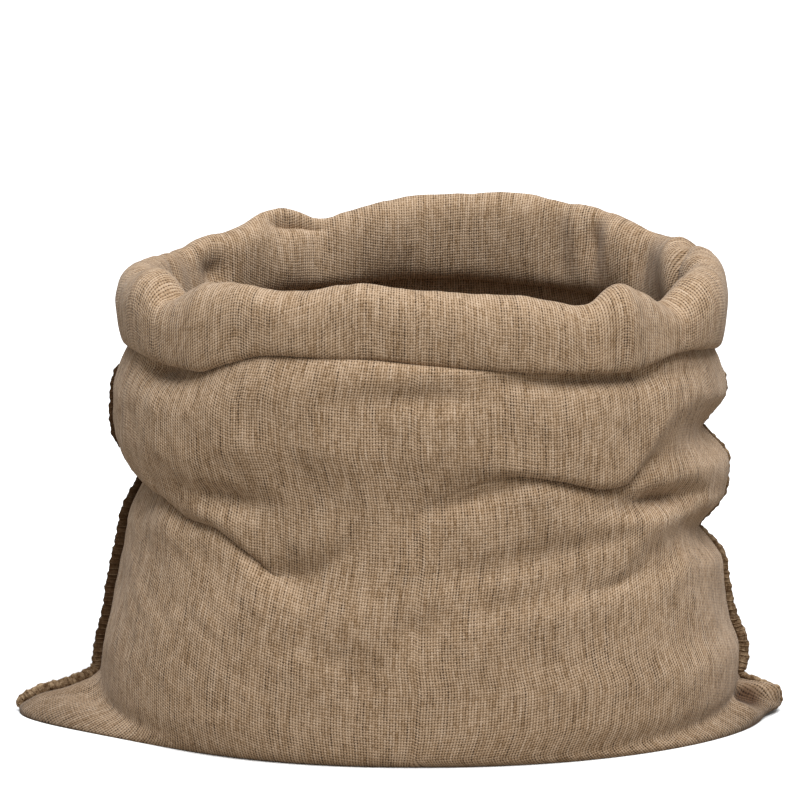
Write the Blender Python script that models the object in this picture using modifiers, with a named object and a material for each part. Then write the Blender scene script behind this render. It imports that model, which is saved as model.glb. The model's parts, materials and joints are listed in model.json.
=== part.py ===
"""Hessian sack, open at the top, standing in the slumped shape that its filling gave it.

One length of hessian is folded at the bottom, sewn up both sides with an over-edge seam that
stands proud, and its mouth is rolled outwards into a thick cuff. Metres, +Z up. The origin is on
the floor under the middle of the sack, the two side seams are at -X and +X, and the front is -Y.
"""

import bmesh
import bpy
import numpy as np

FLAT_WIDTH = 0.65           # the empty sack laid flat, seam to seam
CLOTH = 0.002               # thickness of the cloth
COLUMNS = 54                # faces round the sack
SEAM_CROWDING = 0.25        # columns stand closer together at the two seams
ROLL_ROWS = 13              # rows of the rolled cuff

SEAM_GAP = 0.0010           # between a seam's rib and the cloth
SEAM_WIDTH = 0.0052
SEAM_SIDES = 8
SEAM_STEP = 0.0055         # rows of the cloth that are closer than this share a row of the rib
SEAM_FIRST = 0.002          # the height where a rib starts, just above the floor
SEAM_LAST = 0.290           # and where it ends, under the rolled cuff

HESSIAN = (0.319, 0.220, 0.141, 1.0)
SEAM_YARN = (0.205, 0.150, 0.092, 1.0)


def table(names, rows):
    """A table with named columns: each name gives an array with one number a row."""
    return dict(zip(names.split(), np.array(rows, dtype=float).T))


# The filled body's outline at rising levels. A level is a share of the height of the neck, the
# four distances are from the middle, and "square" is the exponent of a superellipse.
BODY = table("level left right front back square", [
    (0.000, 0.2350, 0.2590, 0.1570, 0.1570, 2.08),
    (0.012, 0.2385, 0.2630, 0.1610, 0.1590, 2.10),
    (0.035, 0.2410, 0.2690, 0.1630, 0.1610, 2.14),
    (0.100, 0.2430, 0.2755, 0.1645, 0.1630, 2.20),
    (0.180, 0.2420, 0.2765, 0.1655, 0.1645, 2.20),
    (0.260, 0.2370, 0.2680, 0.1660, 0.1660, 2.20),
    (0.340, 0.2315, 0.2635, 0.1650, 0.1670, 2.20),
    (0.420, 0.2260, 0.2615, 0.1620, 0.1660, 2.20),
    (0.520, 0.2205, 0.2620, 0.1590, 0.1640, 2.20),
    (0.620, 0.2200, 0.2620, 0.1590, 0.1630, 2.20),
    (0.700, 0.2240, 0.2610, 0.1640, 0.1640, 2.22),
    (0.790, 0.2310, 0.2605, 0.1680, 0.1650, 2.25),
    (0.870, 0.2310, 0.2595, 0.1680, 0.1640, 2.25),
    (0.940, 0.2255, 0.2570, 0.1650, 0.1600, 2.22),
    (1.000, 0.2160, 0.2500, 0.1590, 0.1540, 2.20),
])

# The two bottom corners stand out as ears, flat bags of cloth with the seam along their top.
# "front" and "back" are how far an ear's two faces reach past the body, "width" is its width, and
# "cleft" is how far its edge is drawn in at the seam, as a share of the reach.
LEFT_EAR = table("height front back width cleft", [
    (0.000, 0.0770, 0.0770, 0.068, 0.00),
    (0.004, 0.0730, 0.0730, 0.060, 0.00),
    (0.009, 0.0640, 0.0640, 0.052, 0.00),
    (0.014, 0.0540, 0.0540, 0.040, 0.00),
    (0.018, 0.0370, 0.0370, 0.030, 0.00),
    (0.023, 0.0220, 0.0220, 0.024, 0.00),
    (0.029, 0.0110, 0.0110, 0.020, 0.00),
    (0.036, 0.0050, 0.0050, 0.018, 0.00),
    (0.060, 0.0000, 0.0000, 0.016, 0.00),
])
RIGHT_EAR = table("height front back width cleft", [
    (0.000, 0.0470, 0.0470, 0.125, 0.00),
    (0.005, 0.0510, 0.0500, 0.085, 0.10),
    (0.010, 0.0550, 0.0550, 0.052, 0.35),
    (0.015, 0.0470, 0.0540, 0.034, 0.55),
    (0.020, 0.0150, 0.0440, 0.030, 0.60),
    (0.024, 0.0050, 0.0200, 0.027, 0.50),
    (0.027, 0.0020, 0.0040, 0.024, 0.30),
    (0.034, 0.0000, 0.0000, 0.022, 0.00),
    (0.060, 0.0000, 0.0000, 0.020, 0.00),
])
EAR_TURNING = 0.010         # over this distance each side of the seam, front turns into back
CLEFT_WIDTH = 0.012

# The rolled cuff, by the turn in degrees from the left seam by way of the front: the heights of
# its lower edge and of its top, the thickness of the roll and how far it stands out of the neck.
MOUTH = table("turn bottom top thick proud", [
    (0, 0.3120, 0.373, 0.038, 0.013),
    (20, 0.3160, 0.378, 0.040, 0.013),
    (35, 0.3130, 0.366, 0.040, 0.012),
    (44, 0.3120, 0.377, 0.038, 0.011),
    (52, 0.3210, 0.379, 0.034, 0.010),
    (62, 0.3300, 0.376, 0.030, 0.009),
    (79, 0.3300, 0.383, 0.030, 0.009),
    (90, 0.3250, 0.378, 0.030, 0.009),
    (105, 0.3200, 0.375, 0.030, 0.010),
    (121, 0.3160, 0.365, 0.030, 0.012),
    (131, 0.3140, 0.377, 0.034, 0.012),
    (147, 0.3230, 0.360, 0.034, 0.012),
    (158, 0.3190, 0.374, 0.034, 0.013),
    (180, 0.3120, 0.382, 0.036, 0.014),
    (205, 0.3150, 0.381, 0.036, 0.013),
    (232, 0.3270, 0.396, 0.032, 0.012),
    (252, 0.3320, 0.406, 0.032, 0.012),
    (268, 0.3350, 0.404, 0.032, 0.012),
    (285, 0.3300, 0.389, 0.032, 0.012),
    (297, 0.3270, 0.395, 0.034, 0.012),
    (318, 0.3180, 0.374, 0.036, 0.012),
    (340, 0.3130, 0.371, 0.038, 0.012),
    (360, 0.3120, 0.373, 0.038, 0.013),
])

# Section through the roll, from under it, up its inner wall, over and down to the tucked hem.
# "out" is a share of its thickness from the inner wall, "up" a share of its height.
ROLL = table("out up", [
    (0.62, 0.00),
    (0.36, 0.00),
    (0.12, 0.06),
    (0.01, 0.20),
    (-0.02, 0.45),
    (0.03, 0.75),
    (0.18, 0.93),
    (0.42, 1.00),
    (0.70, 0.94),
    (0.92, 0.76),
    (1.00, 0.50),
    (1.00, 0.24),
    (0.95, 0.02),
    (0.82, -0.03),
    (0.70, 0.09),
    (0.56, 0.25),
    (0.50, 0.45),
])

# Tucks and lumps of the roll. "turn" and "along" are where its middle is, "round" its width in
# degrees, "long" its length as a share of the section, and "push" how far out it stands.
TUCKS = table("turn along round long push", [
    (12, 0.36, 5, 0.16, -0.0060),
    (330, 0.34, 7, 0.14, -0.0080),
    (318, 0.42, 6, 0.12, 0.0050),
    (300, 0.30, 6, 0.12, 0.0080),
    (290, 0.36, 4, 0.14, -0.0090),
    (275, 0.30, 6, 0.12, 0.0070),
    (240, 0.30, 5, 0.14, -0.0070),
    (229, 0.28, 6, 0.14, 0.0090),
    (214, 0.33, 5, 0.12, -0.0080),
    (192, 0.30, 8, 0.12, 0.0090),
    (172, 0.36, 5, 0.14, -0.0060),
    (160, 0.60, 8, 0.14, 0.0040),
    (139, 0.62, 5, 0.14, -0.0030),
])

# Two creases run right round the body, each a line on the cloth "across" from the left seam by way
# of the front. A crease is "depth" deep and fades over "above" and "below". The cloth above it
# hangs down over it by "drop". Where the depth is nothing, only the rows of the mesh follow it.
CREASE_COLUMNS = "across height depth above below drop"
UPPER_CREASE = table(CREASE_COLUMNS, [
    (0.000, 0.1996, 0.0150, 0.034, 0.036, 0.001),
    (0.050, 0.2000, 0.0160, 0.026, 0.038, 0.006),
    (0.090, 0.1985, 0.0150, 0.018, 0.032, 0.009),
    (0.120, 0.1890, 0.0135, 0.014, 0.024, 0.009),
    (0.145, 0.1835, 0.0125, 0.013, 0.021, 0.009),
    (0.168, 0.1760, 0.0115, 0.013, 0.020, 0.008),
    (0.185, 0.1640, 0.0090, 0.014, 0.020, 0.006),
    (0.205, 0.1500, 0.0040, 0.016, 0.020, 0.002),
    (0.235, 0.1560, 0.0000, 0.018, 0.020, 0.000),
    (0.290, 0.1900, 0.0000, 0.022, 0.022, 0.000),
    (0.342, 0.2190, 0.0030, 0.022, 0.022, 0.001),
    (0.385, 0.2330, 0.0060, 0.016, 0.020, 0.005),
    (0.405, 0.2360, 0.0090, 0.014, 0.018, 0.009),
    (0.435, 0.2325, 0.0110, 0.012, 0.016, 0.011),
    (0.470, 0.2240, 0.0130, 0.012, 0.016, 0.012),
    (0.490, 0.2230, 0.0140, 0.013, 0.018, 0.012),
    (0.510, 0.2310, 0.0150, 0.015, 0.022, 0.010),
    (0.540, 0.2440, 0.0160, 0.018, 0.028, 0.007),
    (0.570, 0.2480, 0.0175, 0.020, 0.028, 0.005),
    (0.610, 0.2455, 0.0185, 0.024, 0.027, 0.003),
    (0.650, 0.2413, 0.0185, 0.027, 0.026, 0.001),
    (0.720, 0.2430, 0.0150, 0.026, 0.028, 0.004),
    (0.800, 0.2350, 0.0060, 0.020, 0.024, 0.004),
    (0.860, 0.2280, 0.0000, 0.022, 0.024, 0.000),
    (1.000, 0.2150, 0.0000, 0.022, 0.024, 0.000),
    (1.120, 0.2220, 0.0060, 0.018, 0.022, 0.004),
    (1.200, 0.2140, 0.0110, 0.020, 0.030, 0.006),
    (1.260, 0.2040, 0.0135, 0.030, 0.034, 0.003),
    (1.300, 0.1996, 0.0150, 0.034, 0.036, 0.001),
])
LOWER_CREASE = table(CREASE_COLUMNS, [
    (0.000, 0.1200, 0.0000, 0.024, 0.024, 0.000),
    (0.120, 0.1100, 0.0000, 0.024, 0.024, 0.000),
    (0.205, 0.0900, 0.0000, 0.024, 0.024, 0.000),
    (0.330, 0.0950, 0.0000, 0.024, 0.024, 0.000),
    (0.430, 0.1080, 0.0000, 0.024, 0.024, 0.000),
    (0.470, 0.1310, 0.0010, 0.026, 0.026, 0.000),
    (0.487, 0.1400, 0.0030, 0.024, 0.026, 0.001),
    (0.524, 0.1590, 0.0090, 0.018, 0.026, 0.004),
    (0.560, 0.1700, 0.0150, 0.016, 0.026, 0.006),
    (0.600, 0.1640, 0.0190, 0.022, 0.028, 0.003),
    (0.650, 0.1577, 0.0210, 0.029, 0.028, 0.000),
    (0.720, 0.1520, 0.0170, 0.026, 0.028, 0.003),
    (0.790, 0.1400, 0.0090, 0.022, 0.026, 0.003),
    (0.850, 0.1280, 0.0000, 0.024, 0.024, 0.000),
    (1.000, 0.1100, 0.0000, 0.024, 0.024, 0.000),
    (1.150, 0.1150, 0.0000, 0.024, 0.024, 0.000),
    (1.300, 0.1200, 0.0000, 0.024, 0.024, 0.000),
])
CREASES = (LOWER_CREASE, UPPER_CREASE)
CREASE_POWER = 1.35         # 1 is a straight-sided crease, more is a rounder one

# Soft hollows and swells. "lean" is the rise of its long axis for each metre across, and "push"
# is how far out it stands.
SWELLS = table("across height wide tall lean push", [
    (0.160, 0.2090, 0.035, 0.009, -0.12, -0.0050),
    (0.212, 0.1560, 0.026, 0.016, -0.30, -0.0060),
    (0.240, 0.1560, 0.040, 0.016, 0.30, 0.0030),
    (0.410, 0.1660, 0.090, 0.011, 0.16, -0.0040),
    (0.430, 0.1450, 0.060, 0.009, 0.32, -0.0030),
    (0.455, 0.1980, 0.070, 0.012, 0.05, 0.0030),
    (0.530, 0.2130, 0.035, 0.009, 0.05, -0.0050),
    (0.500, 0.1400, 0.040, 0.010, 0.55, 0.0020),
    (0.300, 0.3000, 0.050, 0.010, 0.00, -0.0030),
    (0.100, 0.3020, 0.022, 0.010, 0.00, -0.0060),
    (0.930, 0.1700, 0.120, 0.020, -0.12, -0.0060),
    (1.080, 0.1500, 0.070, 0.016, 0.35, -0.0050),
    (0.880, 0.0900, 0.080, 0.024, 0.20, 0.0040),
])

# How far the two ribs stand out at rising heights.
RIBS = table("height left right", [
    (0.000, 0.0070, 0.0060),
    (0.030, 0.0080, 0.0070),
    (0.150, 0.0080, 0.0070),
    (0.190, 0.0065, 0.0050),
    (0.220, 0.0040, 0.0055),
    (0.245, 0.0040, 0.0045),
    (0.290, 0.0030, 0.0025),
])

# Rows of the cloth: over the floor from the bottom fold, up round the ears, then up the body.
FLOOR_ROWS = ((0.0, 0.0), (0.55, 0.006), (1.0, 0.010))     # share of the depth, less a margin
EAR_LEVELS = (0.0, 0.018, 0.036, 0.052, 0.066, 0.079, 0.092, 0.108, 0.13, 0.16)
CREASE_ROWS = (-0.024, -0.012, -0.005, 0.0, 0.004, 0.009, 0.016, 0.027)
BAND_ROWS = (4, 3, 6)       # rows between the ears, the two creases and the cuff
TOP_LEVEL = 0.985


def smooth(rows, name, where):
    """Read a table between its rows, on a curve that never overshoots them."""
    keys, values = (rows[key] for key in (next(iter(rows)), name))
    slopes = np.diff(values) / np.diff(keys)
    before, after = slopes[:-1], slopes[1:]
    turning = np.zeros(len(keys))
    turning[0], turning[-1] = slopes[0], slopes[-1]
    same = before * after > 0
    turning[1:-1][same] = 2 * (before * after)[same] / (before + after)[same]
    where = np.clip(where, keys[0], keys[-1])
    left = np.clip(np.searchsorted(keys, where, side="right") - 1, 0, len(keys) - 2)
    width = keys[left + 1] - keys[left]
    t = (where - keys[left]) / width
    return ((1 + 2 * t) * (1 - t) ** 2 * values[left] + t * (1 - t) ** 2 * width * turning[left]
            + t * t * (3 - 2 * t) * values[left + 1] + t * t * (t - 1) * width * turning[left + 1])


def rounded(angle, square):
    """The two coordinates of a superellipse of half width and half depth 1."""
    cos, sin = np.cos(angle), np.sin(angle)
    return np.sign(cos) * abs(cos) ** (2 / square), np.sign(sin) * abs(sin) ** (2 / square)


def turn_of(share):
    """The turn in degrees for a share of the way round, so that columns are evenly spaced."""
    steps = np.linspace(0, 360, 721)
    along, deep = rounded(np.radians(steps), 2.2)
    lengths = np.hypot(np.diff(0.252 * along), np.diff(0.160 * deep))
    travelled = np.concatenate([[0], np.cumsum(lengths)])
    return np.interp(share, travelled / travelled[-1], steps)


def outline(turn, level):
    """A point of the filled body before its folds."""
    height = level * smooth(MOUTH, "bottom", turn % 360)
    left, right, front, back, square = (smooth(BODY, name, level) for name in list(BODY)[1:])
    along, deep = rounded(np.radians(turn), square)
    y = -deep * np.where(deep >= 0, front, back)
    x = (right - left) / 2 - along * (right + left) / 2
    for ear, side in ((LEFT_EAR, 1), (RIGHT_EAR, -1)):
        ahead, behind, width, cleft = (smooth(ear, name, height) for name in list(ear)[1:])
        turned = np.clip(0.5 + y / EAR_TURNING / 2, 0, 1)
        reach = ahead + (behind - ahead) * turned * turned * (3 - 2 * turned)
        reach = reach * np.exp(-(y / width) ** 2) * (1 - cleft * np.exp(-(y / CLEFT_WIDTH) ** 2))
        x = x - side * np.where(along * side > 0, reach, 0)
    return x, y, height


def outwards(turn, level):
    """The level direction that points straight out of the outline."""
    step = 0.5
    x0, y0, _ = outline(turn - step, level)
    x1, y1, _ = outline(turn + step, level)
    length = np.hypot(x1 - x0, y1 - y0)
    return (y1 - y0) / length, (x0 - x1) / length


def body(share, height):
    """A point of the body with its folds, by its height before they are made."""
    turn = turn_of(share)
    level = height / smooth(MOUTH, "bottom", turn % 360)
    x, y, _ = outline(turn, level)
    out_x, out_y = outwards(turn, level)
    across = share * 2 * FLAT_WIDTH
    push, fall = np.zeros_like(x), np.zeros_like(x)
    for crease in CREASES:
        line, depth, above, below, drop = (smooth(crease, name, across) for name in list(crease)[1:])
        over = height - line
        fade = np.clip(1 - abs(over) / np.where(over > 0, above, below), 0, 1) ** CREASE_POWER
        lip = np.clip(over / above, 0, None)
        push -= depth * fade
        fall += drop * lip * np.exp(1 - lip)
    for swell in zip(*SWELLS.values()):
        middle, middle_height, wide, tall, lean, out = swell
        along = across - middle
        push += out * np.exp(-(along / wide) ** 2 - ((height - middle_height - lean * along) / tall) ** 2)
    return x + out_x * push, y + out_y * push, height - fall


def roll(share, along):
    """A point of the rolled cuff: along is 0 under the roll and 1 at the tucked hem."""
    turn = turn_of(share)
    bottom, top, thick, proud = (smooth(MOUTH, name, turn % 360) for name in list(MOUTH)[1:])
    place = along * (len(ROLL["out"]) - 1)
    out, up = (np.interp(place, np.arange(len(ROLL[name])), ROLL[name]) for name in ("out", "up"))
    x, y, _ = outline(turn, np.ones_like(turn))
    out_x, out_y = outwards(turn, np.ones_like(turn))
    reach = proud + (out - 1) * thick
    # on the inner wall a lump stands inwards, on top upwards and on the outside outwards
    facing = np.pi * np.clip((along - 0.25) / 0.4, 0, 1)
    rise = np.zeros_like(x)
    for middle, middle_along, wide, long, push in zip(*TUCKS.values()):
        turned = (turn - middle + 180) % 360 - 180
        lump = push * np.exp(-(turned / wide) ** 2 - ((along - middle_along) / long) ** 2)
        reach = reach - lump * np.cos(facing)
        rise = rise + lump * np.sin(facing)
    return x + out_x * reach, y + out_y * reach, bottom + up * (top - bottom) + rise


def floor(share, part, margin):
    """A point of the base, which lies flat: part is 0 on the bottom fold and 1 at the edge."""
    x, y, height = outline(turn_of(share), np.zeros_like(share))
    return x, np.sign(y) * np.clip(abs(y) * part - margin, 0, None), height


def body_rows(share):
    """Heights of the body's rows at each column: level at its two ends, and along the creases."""
    neck = smooth(MOUTH, "bottom", turn_of(share) % 360)
    rows = [level * neck for level in EAR_LEVELS]
    for crease, between in zip(CREASES + (None,), BAND_ROWS):
        if crease:
            line = smooth(crease, "height", share * 2 * FLAT_WIDTH)
            ahead = [line + offset for offset in CREASE_ROWS]
        else:
            ahead = [TOP_LEVEL * neck]
        last = rows[-1]
        rows += [last + (ahead[0] - last) * step / (between + 1) for step in range(1, between + 1)]
        rows += ahead
    return rows


def rows_of_cloth(share):
    """Every row of the cloth as an array of points, one for each column."""
    rows = [floor(share, part, margin) for part, margin in FLOOR_ROWS]
    rows += [body(share, height) for height in body_rows(share)]
    rows += [roll(share, along) for along in np.linspace(0, 1, ROLL_ROWS)]
    return [np.stack(row, -1) for row in rows]


def material(name, colour, roughness):
    made = bpy.data.materials.new(name)
    made.use_nodes = True
    shader = made.node_tree.nodes["Principled BSDF"]
    shader.inputs["Base Color"].default_value = colour
    shader.inputs["Roughness"].default_value = roughness
    return made


def finish(mesh_data, name, collection, surface):
    mesh = bpy.data.meshes.new(name)
    bmesh.ops.recalc_face_normals(mesh_data, faces=mesh_data.faces)
    mesh_data.to_mesh(mesh)
    mesh_data.free()
    mesh.shade_smooth()
    mesh.materials.append(surface)
    made = bpy.data.objects.new(name, mesh)
    collection.objects.link(made)
    return made


def sack_cloth(collection, surface):
    """The whole cloth: a grid wrapped round the sack and given its thickness."""
    steps = np.arange(COLUMNS + 1) / COLUMNS
    rows = rows_of_cloth(steps - SEAM_CROWDING * np.sin(4 * np.pi * steps) / (4 * np.pi))
    cloth = bmesh.new()
    bmesh.ops.create_grid(cloth, x_segments=COLUMNS, y_segments=len(rows) - 1, size=0.5)
    for vert in cloth.verts:
        column = round((vert.co.x + 0.5) * COLUMNS)
        row = round((vert.co.y + 0.5) * (len(rows) - 1))
        vert.co = rows[row][column]
        vert.co.z += CLOTH / 2
    # the grid's two ends meet at the left seam, and its first row closes on the bottom fold
    bmesh.ops.remove_doubles(cloth, verts=cloth.verts, dist=0.00001)
    made = finish(cloth, "sack_cloth", collection, surface)
    wall = made.modifiers.new("thickness", "SOLIDIFY")
    wall.thickness = CLOTH
    wall.offset = 0
    return made


def side_seam(side_name, share, side, collection, surface):
    """The rib of an over-edge seam: a flat tube that follows the cloth from ear to neck."""
    heights = []
    for height in (row[0] for row in body_rows(np.array([share]))):
        if SEAM_FIRST < height < SEAM_LAST and (not heights or height - heights[-1] > SEAM_STEP):
            heights.append(height)
    heights = np.array(heights)
    x, y, z = body(np.full_like(heights, share), heights)
    z = z + CLOTH / 2
    run_x, run_z = np.gradient(x), np.gradient(z)
    length = np.hypot(run_x, run_z)
    out_x, out_z = side * run_z / length, -side * run_x / length
    proud = smooth(RIBS, side_name, heights)
    slender = np.ones_like(heights)
    slender[0] = slender[-1] = 0.4
    rib = bmesh.new()
    bmesh.ops.create_grid(rib, x_segments=SEAM_SIDES, y_segments=len(heights) - 1, size=0.5)
    for vert in rib.verts:
        angle = 2 * np.pi * (vert.co.x + 0.5)
        row = round((vert.co.y + 0.5) * (len(heights) - 1))
        out = CLOTH / 2 + SEAM_GAP + slender[row] * proud[row] * (0.5 - 0.5 * np.cos(angle))
        vert.co = (x[row] + out_x[row] * out,
                   y[row] + slender[row] * SEAM_WIDTH / 2 * np.sin(angle),
                   z[row] + out_z[row] * out)
    bmesh.ops.remove_doubles(rib, verts=rib.verts, dist=0.00001)
    bmesh.ops.holes_fill(rib, edges=rib.edges, sides=SEAM_SIDES)
    return finish(rib, "seam_" + side_name, collection, surface)


def main():
    for old in list(bpy.data.objects):
        bpy.data.objects.remove(old)
    collection = bpy.data.collections.new("hessian_sack")
    bpy.context.scene.collection.children.link(collection)
    hessian = material("hessian", HESSIAN, 0.95)
    yarn = material("seam_yarn", SEAM_YARN, 0.9)
    sack_cloth(collection, hessian)
    side_seam("left", 0.0, -1, collection, yarn)
    side_seam("right", 0.5, 1, collection, yarn)


main()
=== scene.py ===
import json
import math

import bmesh
import bpy
import numpy as np
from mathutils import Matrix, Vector

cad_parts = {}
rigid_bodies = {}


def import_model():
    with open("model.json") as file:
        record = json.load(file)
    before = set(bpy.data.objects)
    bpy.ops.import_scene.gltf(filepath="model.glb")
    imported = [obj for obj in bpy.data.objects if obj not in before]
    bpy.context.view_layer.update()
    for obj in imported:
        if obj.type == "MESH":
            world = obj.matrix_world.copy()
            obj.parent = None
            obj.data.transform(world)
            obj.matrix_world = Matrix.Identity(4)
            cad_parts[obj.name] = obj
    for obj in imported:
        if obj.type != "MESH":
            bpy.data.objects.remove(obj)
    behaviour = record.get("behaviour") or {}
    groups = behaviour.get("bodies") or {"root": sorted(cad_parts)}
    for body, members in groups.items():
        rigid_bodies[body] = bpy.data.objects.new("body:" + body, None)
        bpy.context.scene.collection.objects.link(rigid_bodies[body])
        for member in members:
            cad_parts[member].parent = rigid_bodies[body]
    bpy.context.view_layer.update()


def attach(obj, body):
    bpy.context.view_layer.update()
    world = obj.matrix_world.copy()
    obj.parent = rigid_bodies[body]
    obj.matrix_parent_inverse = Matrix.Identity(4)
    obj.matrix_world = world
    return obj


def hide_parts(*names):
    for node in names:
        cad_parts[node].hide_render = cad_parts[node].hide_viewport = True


# The hessian sack in its studio. Metres, +Z up, front towards -Y, the floor at zero.

for old in list(bpy.data.objects):
    bpy.data.objects.remove(old)

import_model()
print("frame loaded")

# camera

cameraLook = {
    "place": (0.0, -3.5, 1.0235),
    "target": (0.0, 0.0, 0.262),
    "lens": 199.0,
    "sensor": 36.0,
    "farEnd": 60.0,
}

cameraData = bpy.data.cameras.new("camera")
cameraData.lens = cameraLook["lens"]
cameraData.sensor_width = cameraLook["sensor"]
cameraData.clip_end = cameraLook["farEnd"]
camera = bpy.data.objects.new("camera", cameraData)
camera.location = cameraLook["place"]
sightLine = Vector(cameraLook["target"]) - Vector(cameraLook["place"])
camera.rotation_euler = sightLine.to_track_quat("-Z", "Y").to_euler()
bpy.context.scene.collection.objects.link(camera)
bpy.context.scene.camera = camera
print("camera placed")


# shared helpers

def table(names, rows):
    return dict(zip(names.split(), np.array(rows, dtype=float).T))


def between(value, start, rise, end, fall):
    # fades in from the start and out towards the end
    return np.clip((value - start) / rise, 0, 1) * np.clip((end - value) / fall, 0, 1)


def readSmooth(rows, name, where):
    # a cubic through the rows that never overshoots them; the first column says where
    keys = rows[next(iter(rows))]
    values = rows[name]
    slopes = np.diff(values) / np.diff(keys)
    before, after = slopes[:-1], slopes[1:]
    turning = np.zeros(len(keys))
    turning[0], turning[-1] = slopes[0], slopes[-1]
    same = before * after > 0
    turning[1:-1][same] = 2 * (before * after)[same] / (before + after)[same]
    where = np.clip(where, keys[0], keys[-1])
    left = np.clip(np.searchsorted(keys, where, side="right") - 1, 0, len(keys) - 2)
    width = keys[left + 1] - keys[left]
    t = (where - keys[left]) / width
    rising = (1 + 2 * t) * (1 - t) ** 2 * values[left] + t * (1 - t) ** 2 * width * turning[left]
    falling = t * t * (3 - 2 * t) * values[left + 1] + t * t * (t - 1) * width * turning[left + 1]
    return rising + falling


def wrappedGrid(name, rows, uvs=None):
    # a grid bent through the given points, joined where its edges meet
    height, width = rows.shape[0] - 1, rows.shape[1] - 1
    half, joinWithin = 0.5, 0.00001
    made = bmesh.new()
    bmesh.ops.create_grid(made, x_segments=width, y_segments=height, size=half)
    places = {}
    for vert in made.verts:
        column = round((vert.co.x + half) * width)
        row = round((vert.co.y + half) * height)
        places[vert] = (row, column)
        vert.co = rows[row, column]
    if uvs is not None:
        layer = made.loops.layers.uv.new("clothLength")
        for face in made.faces:
            for loop in face.loops:
                loop[layer].uv = uvs[places[loop.vert]]
    bmesh.ops.remove_doubles(made, verts=made.verts, dist=joinWithin)
    bmesh.ops.recalc_face_normals(made, faces=made.faces)
    mesh = bpy.data.meshes.new(name)
    made.to_mesh(mesh)
    made.free()
    mesh.shade_smooth()
    piece = bpy.data.objects.new(name, mesh)
    bpy.context.scene.collection.objects.link(piece)
    return piece


# the sack's form. Turns are in degrees: 0 at the left seam, 90 at the front, 180 at the right seam

sackForm = {
    "flatWidth": 0.65,
    "thickness": 0.002,
    "frontColumns": 152,
    "backColumns": 128,
    "seamCrowding": 0.3,
    "earRows": 30,
    "earShare": 0.16,  # of the neck's height
    "earCrowding": 1.25,
    "bandRows": (14, 8, 22),
    "neckShare": 0.99,
    "rollRows": 58,
    "cornerEase": 0.01,
    "earTurn": 0.02,
    "creasePower": 1.35,
    "lumpsBetween": (0.03, 0.05, 0.31, 0.03),  # heights, as between takes them
    "seed": 7,
}

# the section by which the columns are spaced
evenSection = {"square": 2.2, "halfWidth": 0.252, "halfDepth": 0.16, "steps": 1441}

# soft lumps that the filling left, and small wrinkles over them
fullTurn = 6.283
surfaceWaves = {
    "lumps": {"count": 14, "around": (6, 20), "rise": 14, "height": 0.0006, "calm": 2.4},
    "wrinkles": {"count": 18, "around": (30, 80), "rise": 60, "height": 0.00016, "calm": 2},
}

# the body from the floor (level 0) to the neck (level 1): reach to each side, and how square it is
bodyTable = table("level left right front back square", [
    (0.000, 0.2350, 0.2590, 0.1570, 0.1570, 2.08),
    (0.012, 0.2385, 0.2630, 0.1610, 0.1590, 2.10),
    (0.035, 0.2410, 0.2690, 0.1630, 0.1610, 2.14),
    (0.100, 0.2430, 0.2755, 0.1645, 0.1630, 2.20),
    (0.180, 0.2420, 0.2765, 0.1655, 0.1645, 2.20),
    (0.260, 0.2370, 0.2680, 0.1660, 0.1660, 2.20),
    (0.340, 0.2315, 0.2635, 0.1660, 0.1670, 2.20),
    (0.420, 0.2260, 0.2615, 0.1648, 0.1660, 2.20),
    (0.520, 0.2205, 0.2620, 0.1630, 0.1640, 2.20),
    (0.620, 0.2200, 0.2620, 0.1625, 0.1630, 2.20),
    (0.700, 0.2240, 0.2610, 0.1645, 0.1640, 2.22),
    (0.790, 0.2310, 0.2605, 0.1680, 0.1650, 2.25),
    (0.870, 0.2310, 0.2595, 0.1680, 0.1640, 2.25),
    (0.940, 0.2255, 0.2570, 0.1650, 0.1600, 2.22),
    (1.000, 0.2160, 0.2500, 0.1590, 0.1540, 2.20),
])

# the flat bottom corners: reach of their front and back faces, and width from front to back
leftEar = table("height front back width", [
    (0.000, 0.0770, 0.0770, 0.068),
    (0.004, 0.0730, 0.0730, 0.060),
    (0.009, 0.0640, 0.0640, 0.052),
    (0.014, 0.0540, 0.0540, 0.040),
    (0.018, 0.0370, 0.0370, 0.030),
    (0.023, 0.0220, 0.0220, 0.024),
    (0.029, 0.0090, 0.0090, 0.020),
    (0.036, 0.0020, 0.0020, 0.018),
    (0.060, 0.0000, 0.0000, 0.016),
])
# the right one also has a narrow tongue at its tip and a pocket in front of the tongue
rightEar = table("height front back width tip tipWide cleft", [
    (0.000, 0.0400, 0.0400, 0.130, 0.0000, 0.0190, 0.00),
    (0.004, 0.0390, 0.0400, 0.105, 0.0080, 0.0190, 0.05),
    (0.009, 0.0330, 0.0350, 0.074, 0.0110, 0.0180, 0.45),
    (0.014, 0.0250, 0.0270, 0.052, 0.0170, 0.0160, 0.80),
    (0.019, 0.0150, 0.0140, 0.038, 0.0240, 0.0135, 1.00),
    (0.0225, 0.0060, 0.0050, 0.028, 0.0265, 0.0110, 1.00),
    (0.0245, 0.0020, 0.0020, 0.022, 0.0200, 0.0085, 0.80),
    (0.0265, 0.0005, 0.0005, 0.018, 0.0040, 0.0080, 0.40),
    (0.036, 0.0000, 0.0000, 0.018, 0.0000, 0.0080, 0.00),
    (0.060, 0.0000, 0.0000, 0.018, 0.0000, 0.0080, 0.00),
])
# the right corner is curled: its front edge dips beside the body and lifts at the tip
rightCurl = {
    "tipAt": -0.001,
    "pocketAt": -0.024,
    "pocketWide": 0.013,
    "inFront": (-0.060, 0.020, -0.006, 0.012),  # along y, as between takes them
    "upright": (0.0, 0.012, 0.036, 0.012),  # and in height
    "beside": 0.250,
    "besideLong": 0.02,
    "from": 0.262,
    "long": 0.036,
    "dip": -0.0020,
    "rise": 0.0100,
}

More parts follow.
